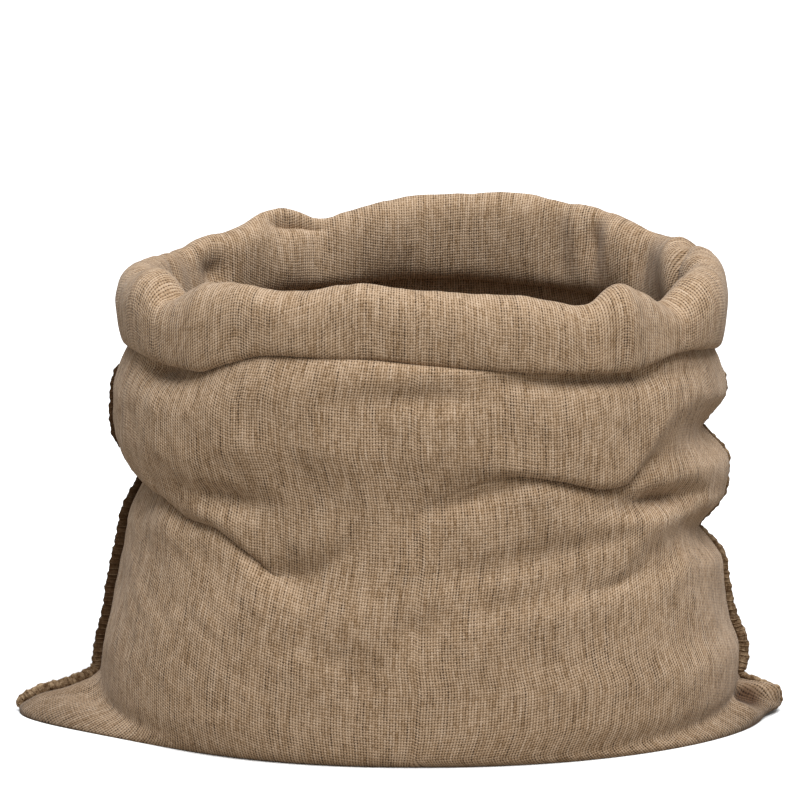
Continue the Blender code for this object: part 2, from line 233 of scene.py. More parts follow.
# the mouth: height of the neck and of the rim, and how thick and how proud the roll is
mouthTable = table("turn bottom top thick proud", [
    (0, 0.3120, 0.373, 0.038, 0.013),
    (20, 0.3160, 0.378, 0.040, 0.013),
    (35, 0.3130, 0.366, 0.040, 0.012),
    (44, 0.3120, 0.377, 0.038, 0.011),
    (52, 0.3210, 0.379, 0.034, 0.010),
    (62, 0.3300, 0.376, 0.030, 0.0085),
    (79, 0.3300, 0.383, 0.030, 0.0062),
    (90, 0.3250, 0.378, 0.030, 0.0052),
    (105, 0.3200, 0.375, 0.030, 0.0085),
    (121, 0.3160, 0.365, 0.030, 0.012),
    (131, 0.3140, 0.377, 0.034, 0.012),
    (147, 0.3230, 0.360, 0.034, 0.012),
    (158, 0.3190, 0.374, 0.034, 0.013),
    (180, 0.3120, 0.382, 0.036, 0.014),
    (205, 0.3150, 0.381, 0.036, 0.013),
    (232, 0.3270, 0.396, 0.032, 0.012),
    (252, 0.3320, 0.406, 0.032, 0.012),
    (268, 0.3350, 0.404, 0.032, 0.012),
    (285, 0.3300, 0.389, 0.032, 0.012),
    (297, 0.3270, 0.395, 0.034, 0.012),
    (318, 0.3180, 0.374, 0.036, 0.012),
    (340, 0.3130, 0.371, 0.038, 0.012),
    (360, 0.3120, 0.373, 0.038, 0.013),
])

# the section through the rolled cuff, from the neck up its inner wall and down to the tucked hem
rollTable = table("step out up", [
    (0, 0.62, 0.00),
    (1, 0.36, 0.00),
    (2, 0.12, 0.06),
    (3, 0.01, 0.20),
    (4, -0.02, 0.45),
    (5, 0.03, 0.75),
    (6, 0.18, 0.93),
    (7, 0.42, 1.00),
    (8, 0.70, 0.94),
    (9, 0.92, 0.76),
    (10, 1.00, 0.50),
    (11, 1.00, 0.24),
    (12, 0.95, 0.02),
    (13, 0.82, -0.03),
    (14, 0.70, 0.09),
    (15, 0.56, 0.25),
    (16, 0.50, 0.45),
])
rollForm = {
    "turnsFrom": 0.25,  # where along the section the wall turns over, and for how long
    "turnsOver": 0.4,
    "lumpsFrom": 0.33,  # the lumps go on from the body
    "lumpsOver": 0.15,
    "lumpsOut": 0.6,
}

# tucks and swells in the roll: where, how wide round it and along its section, and how deep
tuckTable = table("turn along round long push", [
    (12, 0.36, 5, 0.16, -0.0060),
    (330, 0.34, 7, 0.14, -0.0080),
    (318, 0.42, 6, 0.12, 0.0050),
    (300, 0.30, 6, 0.12, 0.0080),
    (290, 0.36, 4, 0.14, -0.0090),
    (275, 0.30, 6, 0.12, 0.0070),
    (240, 0.30, 5, 0.14, -0.0070),
    (229, 0.28, 6, 0.14, 0.0090),
    (214, 0.33, 5, 0.12, -0.0080),
    (192, 0.30, 8, 0.12, 0.0090),
    (172, 0.36, 5, 0.14, -0.0060),
    (160, 0.60, 8, 0.14, 0.0040),
    (139, 0.62, 5, 0.14, -0.0030),
    (299, 0.33, 4.5, 0.08, -0.0100),
    (297, 0.375, 6, 0.05, -0.0130),
    (0, 0.76, 24, 0.10, -0.0040),
    (180, 0.76, 20, 0.10, -0.0030),
    (320, 0.29, 4.5, 0.08, -0.0140),
    (309, 0.34, 5, 0.08, 0.0050),
    (340, 0.32, 3, 0.09, -0.0080),
    (32, 0.45, 3, 0.08, -0.0085),
    (22, 0.42, 7, 0.12, 0.0030),
    (231, 0.30, 3.5, 0.09, -0.0150),
    (237, 0.32, 3, 0.10, 0.0050),
    (222, 0.30, 5, 0.12, 0.0050),
    (185, 0.27, 2.6, 0.06, -0.0130),
    (189, 0.35, 2.6, 0.06, -0.0130),
    (194, 0.45, 2.6, 0.07, -0.0110),
    (199, 0.34, 5, 0.10, 0.0060),
    (178, 0.33, 4, 0.09, 0.0050),
    (145, 0.48, 4, 0.10, -0.0050),
    (122, 0.55, 4, 0.14, -0.0040),
    (129, 0.52, 4, 0.16, 0.0030),
    (75, 0.60, 6, 0.14, -0.0016),
    (98, 0.64, 5, 0.12, 0.0016),
    (56, 0.66, 6, 0.14, -0.0018),
])

# two creases run right round the cloth, by the distance from the left seam
creaseNames = "across height depth above below drop"
upperCrease = table(creaseNames, [
    (0.000, 0.1996, 0.0150, 0.034, 0.036, 0.001),
    (0.050, 0.2000, 0.0150, 0.026, 0.034, 0.006),
    (0.090, 0.1990, 0.0105, 0.018, 0.022, 0.007),
    (0.120, 0.1880, 0.0078, 0.014, 0.015, 0.0065),
    (0.145, 0.1860, 0.0070, 0.012, 0.012, 0.0065),
    (0.168, 0.1745, 0.0080, 0.011, 0.013, 0.007),
    (0.185, 0.1630, 0.0075, 0.012, 0.015, 0.0065),
    (0.205, 0.1500, 0.0040, 0.014, 0.020, 0.002),
    (0.235, 0.1560, 0.0000, 0.018, 0.020, 0.000),
    (0.290, 0.1900, 0.0000, 0.022, 0.022, 0.000),
    (0.342, 0.2190, 0.0030, 0.022, 0.022, 0.001),
    (0.385, 0.2330, 0.0060, 0.016, 0.020, 0.005),
    (0.405, 0.2360, 0.0090, 0.014, 0.018, 0.009),
    (0.435, 0.2325, 0.0110, 0.012, 0.016, 0.011),
    (0.470, 0.2240, 0.0130, 0.012, 0.016, 0.012),
    (0.490, 0.2230, 0.0140, 0.013, 0.018, 0.010),
    (0.510, 0.2310, 0.0120, 0.020, 0.024, 0.005),
    (0.540, 0.2440, 0.0085, 0.036, 0.030, 0.001),
    (0.570, 0.2480, 0.0110, 0.038, 0.029, 0.001),
    (0.610, 0.2455, 0.0165, 0.032, 0.027, 0.001),
    (0.650, 0.2413, 0.0185, 0.027, 0.026, 0.001),
    (0.720, 0.2430, 0.0150, 0.026, 0.028, 0.004),
    (0.800, 0.2350, 0.0060, 0.020, 0.024, 0.004),
    (0.860, 0.2280, 0.0000, 0.022, 0.024, 0.000),
    (1.000, 0.2150, 0.0000, 0.022, 0.024, 0.000),
    (1.120, 0.2220, 0.0060, 0.018, 0.022, 0.004),
    (1.200, 0.2140, 0.0110, 0.020, 0.030, 0.006),
    (1.260, 0.2040, 0.0135, 0.030, 0.034, 0.003),
    (1.300, 0.1996, 0.0150, 0.034, 0.036, 0.001),
])
lowerCrease = table(creaseNames, [
    (0.000, 0.1200, 0.0000, 0.024, 0.024, 0.000),
    (0.120, 0.1100, 0.0000, 0.024, 0.024, 0.000),
    (0.205, 0.0900, 0.0000, 0.024, 0.024, 0.000),
    (0.330, 0.0950, 0.0000, 0.024, 0.024, 0.000),
    (0.430, 0.1080, 0.0000, 0.024, 0.024, 0.000),
    (0.470, 0.1310, 0.0010, 0.026, 0.026, 0.000),
    (0.487, 0.1400, 0.0030, 0.024, 0.026, 0.001),
    (0.524, 0.1590, 0.0070, 0.030, 0.030, 0.001),
    (0.560, 0.1700, 0.0115, 0.030, 0.030, 0.001),
    (0.600, 0.1640, 0.0175, 0.028, 0.028, 0.001),
    (0.650, 0.1577, 0.0210, 0.029, 0.028, 0.000),
    (0.720, 0.1520, 0.0170, 0.026, 0.028, 0.003),
    (0.790, 0.1400, 0.0090, 0.022, 0.026, 0.003),
    (0.850, 0.1280, 0.0000, 0.024, 0.024, 0.000),
    (1.000, 0.1100, 0.0000, 0.024, 0.024, 0.000),
    (1.150, 0.1150, 0.0000, 0.024, 0.024, 0.000),
    (1.300, 0.1200, 0.0000, 0.024, 0.024, 0.000),
])

# the creases lose their sharp bottom where they cross the right of the front
creaseEase = {
    "lowerFrom": 0.450,
    "upperFrom": 0.495,
    "fadeIn": 0.030,
    "until": 0.660,
    "fadeOut": 0.050,
}
# the rows of cloth stand this far from a crease, so that its bottom is sharp
creaseSteps = (-0.024, -0.018, -0.0135, -0.010, -0.0072, -0.005, -0.0032, -0.0016, 0.0,
               0.0012, 0.0026, 0.0042, 0.006, 0.0085, 0.0115, 0.015, 0.020, 0.027)

# low swells and dents: where, how wide and tall, how they lean, and how far they push the cloth out
swellTable = table("across height wide tall lean push", [
    (0.160, 0.2090, 0.035, 0.009, -0.12, -0.0050),
    (0.212, 0.1560, 0.026, 0.016, -0.30, -0.0050),
    (0.410, 0.1660, 0.090, 0.011, 0.16, -0.0026),
    (0.430, 0.1450, 0.060, 0.009, 0.32, -0.0022),
    (0.455, 0.1980, 0.070, 0.012, 0.05, 0.0020),
    (0.530, 0.2110, 0.035, 0.009, 0.05, -0.0050),
    (0.500, 0.1400, 0.040, 0.010, 0.55, 0.0012),
    (0.335, 0.3200, 0.058, 0.020, 0.00, 0.0060),
    (0.325, 0.2980, 0.052, 0.011, 0.02, -0.0040),
    (0.230, 0.3120, 0.070, 0.016, 0.00, 0.0035),
    (0.650, 0.2130, 0.060, 0.020, 0.00, 0.0045),
    (0.650, 0.2780, 0.060, 0.014, 0.00, 0.0035),
    (0.100, 0.3020, 0.022, 0.010, 0.00, -0.0060),
    (0.930, 0.1700, 0.120, 0.020, -0.12, -0.0060),
    (1.080, 0.1500, 0.070, 0.016, 0.35, -0.0050),
    (0.880, 0.0900, 0.080, 0.024, 0.20, 0.0040),
    (0.158, 0.2160, 0.028, 0.006, -0.08, -0.0065),
    (0.150, 0.2010, 0.032, 0.006, -0.20, 0.0030),
    (0.232, 0.1520, 0.028, 0.0180, 0.25, -0.0048),
    (0.255, 0.1720, 0.014, 0.0100, 0.80, -0.0024),
    (0.415, 0.1680, 0.062, 0.0060, 0.157, -0.0020),
    (0.420, 0.1540, 0.070, 0.0070, 0.157, 0.0008),
    (0.458, 0.1385, 0.050, 0.0065, 0.137, -0.0030),
    (0.470, 0.1240, 0.060, 0.0090, 0.137, 0.0006),
    (0.528, 0.2030, 0.044, 0.0085, -0.030, -0.0180),
    (0.370, 0.2180, 0.034, 0.0070, 0.250, -0.0050),
    (0.098, 0.3040, 0.028, 0.0080, 0.000, -0.0080),
    (0.200, 0.3110, 0.060, 0.0070, 0.020, -0.0010),
    (0.470, 0.3070, 0.075, 0.0065, -0.030, -0.0070),
    (0.300, 0.2600, 0.006, 0.0300, 0.000, -0.0016),
    (0.345, 0.2700, 0.020, 0.0300, 0.000, 0.0014),
    (0.260, 0.2500, 0.022, 0.0260, 0.000, 0.0012),
    (0.330, 0.1150, 0.030, 0.0120, 0.250, -0.0016),
    (0.250, 0.0900, 0.040, 0.0140, -0.200, -0.0014),
])

# how far each seam stands proud of the cloth
ribTable = table("height left right", [
    (0.000, 0.0070, 0.0012),
    (0.022, 0.0078, 0.0014),
    (0.030, 0.0080, 0.0060),
    (0.045, 0.0082, 0.0095),
    (0.065, 0.0083, 0.0085),
    (0.095, 0.0084, 0.0065),
    (0.135, 0.0085, 0.0050),
    (0.160, 0.0080, 0.0020),
    (0.190, 0.0065, 0.0025),
    (0.215, 0.0040, 0.0024),
    (0.240, 0.0040, 0.0012),
    (0.290, 0.0030, 0.0010),
])

# rings under the sack: their share of its depth, and how far they stay inside its edge
floorRings = ((0, 0), (0.3, 0.003), (0.55, 0.006), (0.78, 0.007), (0.94, 0.007), (1, 0.006))


def acrossOf(share):
    # the distance along the cloth from the left seam
    return share * 2 * sackForm["flatWidth"]


def superellipse(angle, square):
    # the small term keeps the columns evenly spaced in the middle of each face
    ease, power = sackForm["cornerEase"], 1 / square - 0.5
    cos, sin = np.cos(angle), np.sin(angle)
    return cos * (cos ** 2 + ease) ** power, sin * (sin ** 2 + ease) ** power


def turnOf(share):
    # columns are spaced evenly along the cloth and not by angle
    turns = np.linspace(0, 360, evenSection["steps"])
    along, deep = superellipse(np.radians(turns), evenSection["square"])
    stepsAlong = np.diff(evenSection["halfWidth"] * along)
    stepsDeep = np.diff(evenSection["halfDepth"] * deep)
    travelled = np.concatenate([[0], np.cumsum(np.hypot(stepsAlong, stepsDeep))])
    return np.interp(share, travelled / travelled[-1], turns)


def outline(turn, level):
    height = level * readSmooth(mouthTable, "bottom", turn % 360)
    left, right, front, back, square = (readSmooth(bodyTable, name, level) for name in list(bodyTable)[1:])
    along, deep = superellipse(np.radians(turn), square)
    y = -deep * np.where(deep >= 0, front, back)
    x = (right - left) / 2 - along * (right + left) / 2
    for ear, side in ((leftEar, 1), (rightEar, -1)):
        ahead, behind, width = (readSmooth(ear, name, height) for name in ("front", "back", "width"))
        turned = np.clip(0.5 + y / sackForm["earTurn"], 0, 1)
        reach = ahead + (behind - ahead) * turned * turned * (3 - 2 * turned)
        reach = reach * np.exp(-(y / width) ** 2)
        if ear is rightEar:
            tip, tipWide, cleft = (readSmooth(ear, name, height) for name in ("tip", "tipWide", "cleft"))
            reach = reach * (1 - cleft * np.exp(-((y - rightCurl["pocketAt"]) / rightCurl["pocketWide"]) ** 2))
            reach = reach + tip * np.exp(-((y - rightCurl["tipAt"]) / tipWide) ** 2)
        x = x - side * np.where(along * side > 0, reach, 0)
    return x, y, height


def outwards(turn, level):
    # the level direction away from the cloth, from its places half a degree to each side
    aside = 0.5
    x0, y0, _ = outline(turn - aside, level)
    x1, y1, _ = outline(turn + aside, level)
    length = np.hypot(x1 - x0, y1 - y0)
    return (y1 - y0) / length, (x0 - x1) / length


random = np.random.default_rng(sackForm["seed"])
for kind in surfaceWaves.values():
    kind["waves"] = [
        (random.integers(*kind["around"]), random.uniform(-kind["rise"], kind["rise"]), random.uniform(0, fullTurn))
        for _ in range(kind["count"])]


def lumps(share, length):
    total = np.zeros_like(length)
    for kind in surfaceWaves.values():
        for around, rise, phase in kind["waves"]:
            total += kind["height"] * np.sin(fullTurn * (around * share + rise * length) + phase) / kind["calm"]
    return total


def bodyPoint(share, height):
    turn = turnOf(share)
    level = height / readSmooth(mouthTable, "bottom", turn % 360)
    x, y, _ = outline(turn, level)
    outX, outY = outwards(turn, level)
    across = acrossOf(share)
    push, fall = np.zeros_like(x), np.zeros_like(x)
    for crease, softFrom in ((lowerCrease, creaseEase["lowerFrom"]), (upperCrease, creaseEase["upperFrom"])):
        softness = between(across, softFrom, creaseEase["fadeIn"], creaseEase["until"], creaseEase["fadeOut"])
        line, depth, above, below, drop = (readSmooth(crease, name, across) for name in list(crease)[1:])
        over = height - line
        reach = np.where(over > 0, above, below)
        near = np.clip(1 - abs(over) / reach, 0, 1)
        fade = near ** sackForm["creasePower"]
        fade = fade + softness * ((near * (2 - near)) ** 2 - fade)
        lip = np.clip(over / above, 0, None)
        push -= depth * fade
        fall += drop * lip * np.exp(1 - lip)
    for middle, middleHeight, wide, tall, lean, out in zip(*swellTable.values()):
        along = across - middle
        push += out * np.exp(-(along / wide) ** 2 - ((height - middleHeight - lean * along) / tall) ** 2)
    push += lumps(share, height) * between(height, *sackForm["lumpsBetween"])
    onCorner = between(y, *rightCurl["inFront"]) * between(height, *rightCurl["upright"]) * (x > 0)
    onCorner = onCorner * np.clip((x - rightCurl["beside"]) / rightCurl["besideLong"], 0, 1)
    nearTip = np.clip((x - rightCurl["from"]) / rightCurl["long"], 0, 1)
    lift = onCorner * (rightCurl["dip"] + (rightCurl["rise"] - rightCurl["dip"]) * nearTip)
    return x + outX * push, y + outY * push, height - fall + lift


def rollPoint(share, along):
    turn = turnOf(share)
    bottom, top, thick, proud = (readSmooth(mouthTable, name, turn % 360) for name in list(mouthTable)[1:])
    place = np.full_like(share, along * rollTable["step"][-1])
    out, up = readSmooth(rollTable, "out", place), readSmooth(rollTable, "up", place)
    x, y, _ = outline(turn, np.ones_like(turn))
    outX, outY = outwards(turn, np.ones_like(turn))
    reach = proud + (out - 1) * thick
    swell = np.sin(np.pi * along)
    rise = lumps(share, np.full_like(share, rollForm["lumpsFrom"] + along * rollForm["lumpsOver"])) * swell
    reach = reach + rise * rollForm["lumpsOut"] * swell
    # a swell goes inwards on the inner wall, up on the top and outwards on the outer wall
    facing = np.pi * np.clip((along - rollForm["turnsFrom"]) / rollForm["turnsOver"], 0, 1)
    for middle, middleAlong, wide, long, push in zip(*tuckTable.values()):
        turned = (turn - middle + 180) % 360 - 180
        lump = push * np.exp(-(turned / wide) ** 2 - ((along - middleAlong) / long) ** 2)
        reach = reach - lump * np.cos(facing)
        rise = rise + lump * np.sin(facing)
    return x + outX * reach, y + outY * reach, bottom + up * (top - bottom) + rise


def floorPoint(share, part, margin):
    x, y, z = outline(turnOf(share), np.zeros_like(share))
    return x, np.sign(y) * np.clip(abs(y) * part - margin, 0, None), z


def bodyHeights(share):
    # close rows in the corners, then even bands from crease to crease and up to the neck
    neck = readSmooth(mouthTable, "bottom", turnOf(share) % 360)
    earRows = sackForm["earRows"]
    rows = [sackForm["earShare"] * neck * (step / earRows) ** sackForm["earCrowding"] for step in range(earRows + 1)]
    for crease, count in zip((lowerCrease, upperCrease, None), sackForm["bandRows"]):
        if crease:
            line = readSmooth(crease, "height", acrossOf(share))
            ahead = [line + offset for offset in creaseSteps]
        else:
            ahead = [sackForm["neckShare"] * neck]
        last = rows[-1]
        rows += [last + (ahead[0] - last) * step / (count + 1) for step in range(1, count + 1)]
        rows += ahead
    return rows


def crowded(count):
    # columns stand closer together near the seams
    steps = np.arange(count) / count
    return steps - sackForm["seamCrowding"] * np.sin(2 * np.pi * steps) / (2 * np.pi)


frontShares = crowded(sackForm["frontColumns"]) / 2
backShares = 0.5 + crowded(sackForm["backColumns"]) / 2
columnShares = np.concatenate([frontShares, backShares, [1.0]])
clothRows = [floorPoint(columnShares, part, margin) for part, margin in floorRings]
clothRows += [bodyPoint(columnShares, height) for height in bodyHeights(columnShares)]
clothRows += [rollPoint(columnShares, along) for along in np.linspace(0, 1, sackForm["rollRows"])]
clothPoints = np.array([np.stack(row, -1) for row in clothRows])
clothPoints[..., 2] += sackForm["thickness"] / 2
rowGaps = np.linalg.norm(np.diff(clothPoints, axis=0), axis=2)
clothRun = np.concatenate([np.zeros((1, len(columnShares))), np.cumsum(rowGaps, axis=0)])
clothUvs = np.stack([np.broadcast_to(acrossOf(columnShares), clothRun.shape), clothRun], -1)

clothPiece = wrappedGrid("sackCloth", clothPoints, clothUvs)
clothWall = clothPiece.modifiers.new("thickness", "SOLIDIFY")
clothWall.thickness = sackForm["thickness"]
clothWall.offset = 0
print("cloth made,", clothPoints.shape[0], "rows, run to the hem", round(float(clothRun[-1].mean()), 3))

# the raised side seams: a flat rib and the yarn wound over it

seamLook = {
    "sunk": 0.0014,
    "width": 0.0050,
    "first": 0.0015,
    "last": 0.292,
    "apart": 0.0035,
    "step": 0.0012,
    "blurReach": 2,
    "blurSteps": 5,
    "endLong": 0.006,
    "endLeast": 0.15,
    "coreOut": 0.92,
    "coreWide": 0.82,
    "coreSides": 12,
    "stitchEvery": 0.0040,
    "stitchSway": 0.4,
    "yarn": 0.00042,
    "yarnStep": 0.0004,
    "yarnSides": 6,
    "yarnDeep": 1.1,
    "yarnBeside": 0.2,
    "yarnLeast": 0.0006,
}

# the hand work is uneven: each wave's height, rate and start, and what the right seam adds to its start
seamWaves = {
    "proud": ((0.0004, 611, 0, 0.5), (0.0003, 1130, 0, 0)),
    "beside": ((0.0004, 260, 0, 0), (0.0003, 733, 1, 0)),
    "stitches": ((1.1, 131, 0, 0), (0.9, 357, 2, 0)),
}


def uneven(name, run, side="left"):
    return sum(height * np.sin(run * rate + start + (added if side == "right" else 0))
               for height, rate, start, added in seamWaves[name])


def seamPath(share):
    # the cloth's edge at a seam, in even steps and a little smoothed
    kept = []
    for height in (float(row[0]) for row in bodyHeights(np.array([share]))):
        if seamLook["first"] < height < seamLook["last"] and (not kept or height - kept[-1] > seamLook["apart"]):
            kept.append(height)
    kept = np.array(kept)
    x, _, z = bodyPoint(np.full_like(kept, share), kept)
    z = z + sackForm["thickness"] / 2
    run = np.concatenate([[0], np.cumsum(np.hypot(np.diff(x), np.diff(z)))])
    even = np.arange(0, run[-1], seamLook["step"])
    blur = np.exp(-np.linspace(-seamLook["blurReach"], seamLook["blurReach"], seamLook["blurSteps"]) ** 2)
    blur = blur / blur.sum()
    pad = len(blur) // 2
    pathX, pathZ = (
        np.convolve(np.pad(np.interp(even, run, values), pad, mode="reflect", reflect_type="odd"), blur, mode="valid")
        for values in (x, z))
    return even, pathX, pathZ, np.interp(even, run, kept)


def makeSeam(side, share, direction):
    run, x, z, height = seamPath(share)
    runX, runZ = np.gradient(x), np.gradient(z)
    length = np.hypot(runX, runZ)
    outX, outZ = direction * runZ / length, -direction * runX / length
    ends = np.clip(np.minimum(run, run[-1] - run) / seamLook["endLong"], seamLook["endLeast"], 1) ** 0.5
    wide = seamLook["width"] * ends
    proud = readSmooth(ribTable, side, height) * ends + seamLook["sunk"] + uneven("proud", run, side)
    wobble = uneven("beside", run)
    centre = sackForm["thickness"] / 2 - seamLook["sunk"] + proud / 2
    core = []
    for angle in np.linspace(0, 2 * np.pi, seamLook["coreSides"] + 1):
        out = centre - proud / 2 * seamLook["coreOut"] * np.cos(angle)
        beside = wobble + wide / 2 * seamLook["coreWide"] * np.sin(angle)
        core.append(np.stack([x + outX * out, beside, z + outZ * out], -1))
    corePiece = wrappedGrid("seam_" + side + "Core", np.array(core).transpose(1, 0, 2))
    # the winding yarn goes round the rib at an uneven pace
    fine = np.arange(0, run[-1], seamLook["yarnStep"])
    fineX, fineZ, fineOutX, fineOutZ, fineCentre, fineProud, fineWide, fineWobble = (
        np.interp(fine, run, values) for values in (x, z, outX, outZ, centre, proud, wide, wobble))
    winding = 2 * np.pi * fine / seamLook["stitchEvery"]
    winding = winding + uneven("stitches", fine) + seamLook["stitchSway"] * np.sin(winding)
    reachOut = np.maximum(fineProud / 2 - seamLook["yarn"] * seamLook["yarnDeep"], seamLook["yarnLeast"])
    reachSide = np.maximum(fineWide / 2 - seamLook["yarn"] * seamLook["yarnBeside"], seamLook["yarnLeast"])
    out = fineCentre - reachOut * np.cos(winding)
    line = np.stack([fineX + fineOutX * out, fineWobble + reachSide * np.sin(winding), fineZ + fineOutZ * out], -1)
    ahead = np.gradient(line, axis=0)
    ahead /= np.linalg.norm(ahead, axis=1)[:, None]
    middle = np.stack([fineX + fineOutX * fineCentre, fineWobble, fineZ + fineOutZ * fineCentre], -1)
    away = line - middle
    away -= ahead * (away * ahead).sum(1)[:, None]
    away /= np.linalg.norm(away, axis=1)[:, None]
    cross = np.cross(ahead, away)
    yarnRows = []
    for angle in np.linspace(0, 2 * np.pi, seamLook["yarnSides"] + 1):
        yarnRows.append(line + seamLook["yarn"] * (np.cos(angle) * away + np.sin(angle) * cross))
    yarnPiece = wrappedGrid("seam_" + side + "Yarn", np.array(yarnRows).transpose(1, 0, 2))
    return corePiece, yarnPiece


leftSeam = makeSeam("left", 0.0, -1)
rightSeam = makeSeam("right", 0.5, 1)
print("seams made")

# materials

clothLook = {
    "pitchAcross": 0.00222,
    "pitchAlong": 0.00236,
    "light": (0.560, 0.424, 0.303),
    "middle": (0.396, 0.272, 0.169),
    "dark": (0.198, 0.117, 0.055),
    "gap": (0.032, 0.015, 0.005),
    "darkToMiddle": (0.22, 0.46),
    "middleToLight": (0.42, 0.72),
    "wander": 1.3,
    "warpWidth": (0.3, 0.7, 1.5, 0.5),
    "weftWidth": (0.3, 0.7, 1.2, 0.4),
    "yarnTop": 0.64,
    "crimp": 0.36,
    "sharedTone": 0.5,
    "dipPower": 1.5,
    "dipShade": 0.22,
    "speckShade": 0.6,
    "patchShade": 0.03,
    "apart": (0.50, 0.68),
    "openness": (0.30, 0.70, 0.54, 0.74),
    "single": (0.3, 0.6, 0.35, 1.2),
    "holeTop": 0.20,
    "apartTop": (0.14, 0.08),
    "holeSoftness": 0.40,
    "fuzz": 0.5,
    "bumpStrength": 1.0,
    "bump": 0.00046,
    "roughness": 0.95,
    "specular": 0.03,
    "sheen": 0.12,
    "sheenRoughness": 0.6,
    # painted shade: the bottom corners are darker near the floor, and the right corner's pocket darker still
    "cornerShadeHeight": 0.045,
    "cornerShadeFrom": 0.205,
    "cornerShadeTo": 0.275,
    "paintShade": (0.46, 0.45, 0.44),
    # where the painted shade of the right corner's pocket lies, and its colour
    "pocketAt": (0.281, -0.017, 0.012),
    "pocketInner": 0.010,
    "pocketOuter": 0.021,
    "pocketShade": (0.30, 0.23, 0.19),
}

# patterns over the whole cloth: layer, scale, detail, roughness
clothPatterns = {
    "warpWander": (0.0, 11.0, 2.0, 0.5),
    "weftWander": (3.7, 13.0, 2.0, 0.5),
    "speck": (2.2, 700.0, 2.0, 0.7),
    "patch": (8.8, 6.0, 3.0, 0.55),
    "openness": (6.1, 42.0, 3.0, 0.6),
}

# patterns of each yarn's own: step from yarn to yarn, rate along it, layer, detail, roughness
yarnPatterns = {
    "warpSlub": (7.31, 60.0, 0.0, 3.0, 0.6),
    "weftSlub": (5.77, 60.0, 9.1, 3.0, 0.6),
    "apart": (9.7, 22.0, 4.4, 2.0, 0.5),
    "warpTone": (3.17, 45.0, 1.3, 4.0, 0.75),
    "weftTone": (4.73, 45.0, 5.9, 4.0, 0.75),
    "single": (3.3, 2.9, 7.7, 1.0, 0.5),
}


class NodeChain:
    # short ways to add and join shader nodes

    def __init__(self, name):
        self.material = bpy.data.materials.new(name)
        self.material.use_nodes = True
        self.tree = self.material.node_tree
        self.shader = self.tree.nodes["Principled BSDF"]

    def add(self, kind, **values):
        node = self.tree.nodes.new(kind)
        for name, value in values.items():
            setattr(node, name, value)
        return node

    def put(self, value, socket):
        if isinstance(value, bpy.types.NodeSocket):
            self.tree.links.new(value, socket)
        else:
            socket.default_value = value

    def math(self, operation, first, second=None, third=None):
        node = self.add("ShaderNodeMath", operation=operation)
        for place, value in enumerate((first, second, third)):
            if value is not None:
                self.put(value, node.inputs[place])
        return node.outputs[0]

    def plus(self, first, second):
        return self.math("ADD", first, second)

    def minus(self, first, second):
        return self.math("SUBTRACT", first, second)

    def times(self, first, second):
        return self.math("MULTIPLY", first, second)

    def join(self, x, y, z=0.0):
        node = self.add("ShaderNodeCombineXYZ")
        for place, value in enumerate((x, y, z)):
            self.put(value, node.inputs[place])
        return node.outputs[0]

    def split(self, place):
        node = self.add("ShaderNodeSeparateXYZ")
        self.put(place, node.inputs[0])
        return node.outputs[0], node.outputs[1], node.outputs[2]

    def noise(self, place, scale, detail, roughness):
        node = self.add("ShaderNodeTexNoise", noise_dimensions="3D")
        self.put(place, node.inputs["Vector"])
        self.put(scale, node.inputs["Scale"])
        self.put(detail, node.inputs["Detail"])
        self.put(roughness, node.inputs["Roughness"])
        return node.outputs[0]

    def spread(self, value, low, high, newLow=0.0, newHigh=1.0):
        node = self.add("ShaderNodeMapRange", clamp=True)
        for place, item in enumerate((value, low, high, newLow, newHigh)):
            self.put(item, node.inputs[place])
        return node.outputs[0]

    def mix(self, share, first, second, blend="MIX"):
        node = self.add("ShaderNodeMix", data_type="RGBA", blend_type=blend)
        self.put(share, node.inputs["Factor"])
        for value, socket in ((first, node.inputs[6]), (second, node.inputs[7])):
            self.put((*value, 1.0) if isinstance(value, tuple) else value, socket)
        return node.outputs[2]

    # mixes painted shade into a colour by multiplying it in
    def paintShade(self, share, colour, shadeTint):
        return self.mix(share, colour, self.mix(1.0, colour, shadeTint, "MULTIPLY"))

    def finish(self, colour, look):
        self.put(colour, self.shader.inputs["Base Color"])
        self.put(look["roughness"], self.shader.inputs["Roughness"])
        self.put(look["specular"], self.shader.inputs["Specular IOR Level"])

    def emboss(self, height, look):
        bump = self.add("ShaderNodeBump")
        self.put(look["bumpStrength"], bump.inputs["Strength"])
        self.put(look["bump"], bump.inputs["Distance"])
        self.put(height, bump.inputs["Height"])
        self.put(bump.outputs[0], self.shader.inputs["Normal"])


